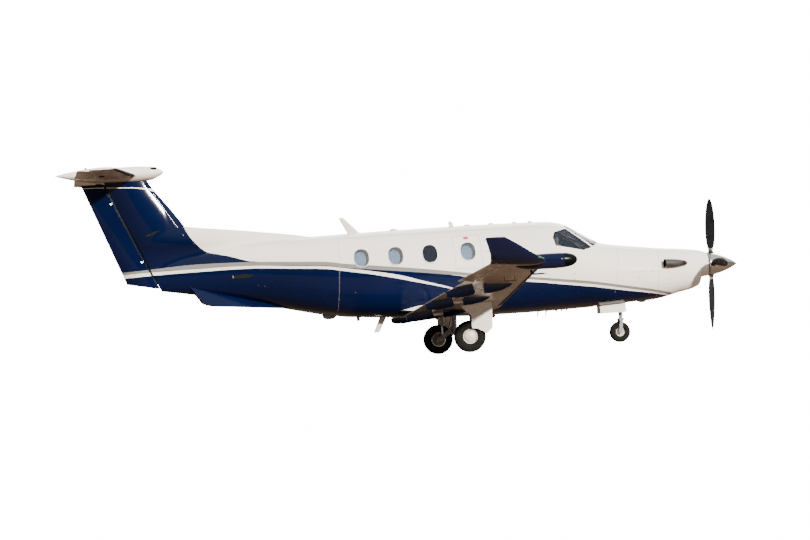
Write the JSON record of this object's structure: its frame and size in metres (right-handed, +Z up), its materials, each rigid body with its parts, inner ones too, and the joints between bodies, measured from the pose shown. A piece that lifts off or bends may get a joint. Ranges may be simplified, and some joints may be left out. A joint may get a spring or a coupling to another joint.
{
  "type": "single-engined turboprop airliner",
  "caption": "Low-wing turboprop airliner with a T-tail, winglets, a wing tip pod, a nose propeller and wheeled landing gear; control surfaces, doors and wheels move.",
  "frame": {"origin": "on the ground under the middle of the aircraft's length and span", "axes": "+X to the nose, +Y to port, +Z up"},
  "size_m": [14.4003, 16.293, 4.39],
  "materials": {
    "white_paint": "gloss",
    "navy_paint": "gloss",
    "grey_metal": "satin",
    "polished_metal": "polished",
    "scorched_metal": "satin",
    "black_blade": "satin",
    "black_rubber": "matte",
    "cabin_glass": "gloss",
    "dark_trim": "matte",
    "seat_leather": "matte",
    "red_lens": "gloss"
  },
  "bodies": {
    "airframe": {"nose_section": "white_paint", "cabin_floor": "white_paint", "cabin_section": "white_paint", "cowling_lower": "white_paint", "cowling_upper": "white_paint", "wing_left": "white_paint", "wing_right": "white_paint", "tailplane": "white_paint", "tail_bullet": "white_paint", "exit_hatch": "white_paint", "main_door_left": "white_paint", "main_door_right": "white_paint", "nose_door_left": "white_paint", "nose_door_right": "white_paint", "dorsal_antenna": "white_paint", "belly_antenna": "white_paint", "tail_section": "navy_paint", "fin": "navy_paint", "winglet_left": "navy_paint", "winglet_right": "navy_paint", "radar_pod": "navy_paint", "strake_left": "navy_paint", "strake_right": "navy_paint", "engine_block": "grey_metal", "main_leg_left": "grey_metal", "main_leg_right": "grey_metal", "nose_leg": "grey_metal", "exhaust_left": "scorched_metal", "exhaust_right": "scorched_metal", "windshield_left": "cabin_glass", "windshield_right": "cabin_glass", "side_window_left": "cabin_glass", "side_window_right": "cabin_glass", "instrument_panel": "dark_trim", "crew_seats": "seat_leather", "cabin_seats_left": "seat_leather", "cabin_seats_right": "seat_leather", "tail_beacon": "red_lens", "belly_beacon": "red_lens"},
    "propeller": {"spinner": "polished_metal", "blade_1": "black_blade", "blade_2": "black_blade", "blade_3": "black_blade", "blade_4": "black_blade"},
    "rudder": {"rudder": "navy_paint"},
    "elevator_left": {"elevator_left": "white_paint"},
    "elevator_right": {"elevator_right": "white_paint"},
    "aileron_left": {"aileron_left": "white_paint"},
    "aileron_right": {"aileron_right": "white_paint"},
    "flap_left": {"flap_left": "white_paint"},
    "flap_right": {"flap_right": "white_paint"},
    "airstair_door": {"airstair_door": "white_paint"},
    "cargo_door": {"cargo_door": "white_paint"},
    "main_wheel_left": {"main_wheel_left_tyre": "black_rubber", "main_wheel_left_hub": "white_paint"},
    "main_wheel_right": {"main_wheel_right_tyre": "black_rubber", "main_wheel_right_hub": "white_paint"},
    "nose_fork": {"nose_fork": "grey_metal"},
    "nose_wheel": {"nose_wheel_tyre": "black_rubber", "nose_wheel_hub": "white_paint"}
  },
  "joints": [
    {"name": "propeller_spin", "type": "hinge", "parent": "airframe", "child": "propeller", "pos_m": [6.63, 0, 1.55], "axis": [0.999, 0, -0.0436], "continuous": true},
    {"name": "rudder_hinge", "type": "hinge", "parent": "airframe", "child": "rudder", "pos_m": [-5.29, 0, 1.85], "axis": [-0.4136, 0, 0.9104], "range_deg": [-25, 25]},
    {"name": "elevator_hinge_left", "type": "hinge", "parent": "airframe", "child": "elevator_left", "pos_m": [-6.40051, 0.175, 4.155], "axis": [-0.0659, 0.9978, 0], "range_deg": [-25, 18]},
    {"name": "elevator_hinge_right", "type": "hinge", "parent": "airframe", "child": "elevator_right", "pos_m": [-6.40051, -0.175, 4.155], "axis": [0.0659, 0.9978, 0], "range_deg": [-25, 18]},
    {"name": "aileron_hinge_left", "type": "hinge", "parent": "airframe", "child": "aileron_left", "pos_m": [0.58575, 5.42, 1.41014], "axis": [0.0789, 0.9927, 0.0916], "range_deg": [-18, 22]},
    {"name": "aileron_hinge_right", "type": "hinge", "parent": "airframe", "child": "aileron_right", "pos_m": [0.58575, -5.42, 1.41014], "axis": [-0.0789, 0.9927, -0.0916], "range_deg": [-18, 22]},
    {"name": "flap_hinge_left", "type": "hinge", "parent": "airframe", "child": "flap_left", "pos_m": [0.32911, 0.92, 0.80624], "axis": [-0.0713, -0.9931, -0.093], "range_deg": [-15, 25]},
    {"name": "flap_hinge_right", "type": "hinge", "parent": "airframe", "child": "flap_right", "pos_m": [0.32911, -0.92, 0.80624], "axis": [0.0713, -0.9931, 0.093], "range_deg": [-15, 25]},
    {"name": "airstair_hinge", "type": "hinge", "parent": "airframe", "child": "airstair_door", "pos_m": [2.36, 0.77936, 1.157], "axis": [-0.9995, 0.0324, 0], "range_deg": [0, 135]},
    {"name": "cargo_door_hinge", "type": "hinge", "parent": "airframe", "child": "cargo_door", "pos_m": [-1.735, 0.50452, 2.463], "axis": [0.9969, 0.0785, 0], "range_deg": [0, 85]},
    {"name": "main_wheel_spin_left", "type": "hinge", "parent": "airframe", "child": "main_wheel_left", "pos_m": [0.935, 2.265, 0.326], "axis": [0, 1, 0], "continuous": true},
    {"name": "main_wheel_spin_right", "type": "hinge", "parent": "airframe", "child": "main_wheel_right", "pos_m": [0.935, -2.265, 0.326], "axis": [0, 1, 0], "continuous": true},
    {"name": "nose_steering", "type": "hinge", "parent": "airframe", "child": "nose_fork", "pos_m": [4.575, 0, 0.62], "axis": [0, 0, 1], "range_deg": [-60, 60]},
    {"name": "nose_wheel_spin", "type": "hinge", "parent": "nose_fork", "child": "nose_wheel", "pos_m": [4.535, 0, 0.2225], "axis": [0, 1, 0], "continuous": true}
  ]
}
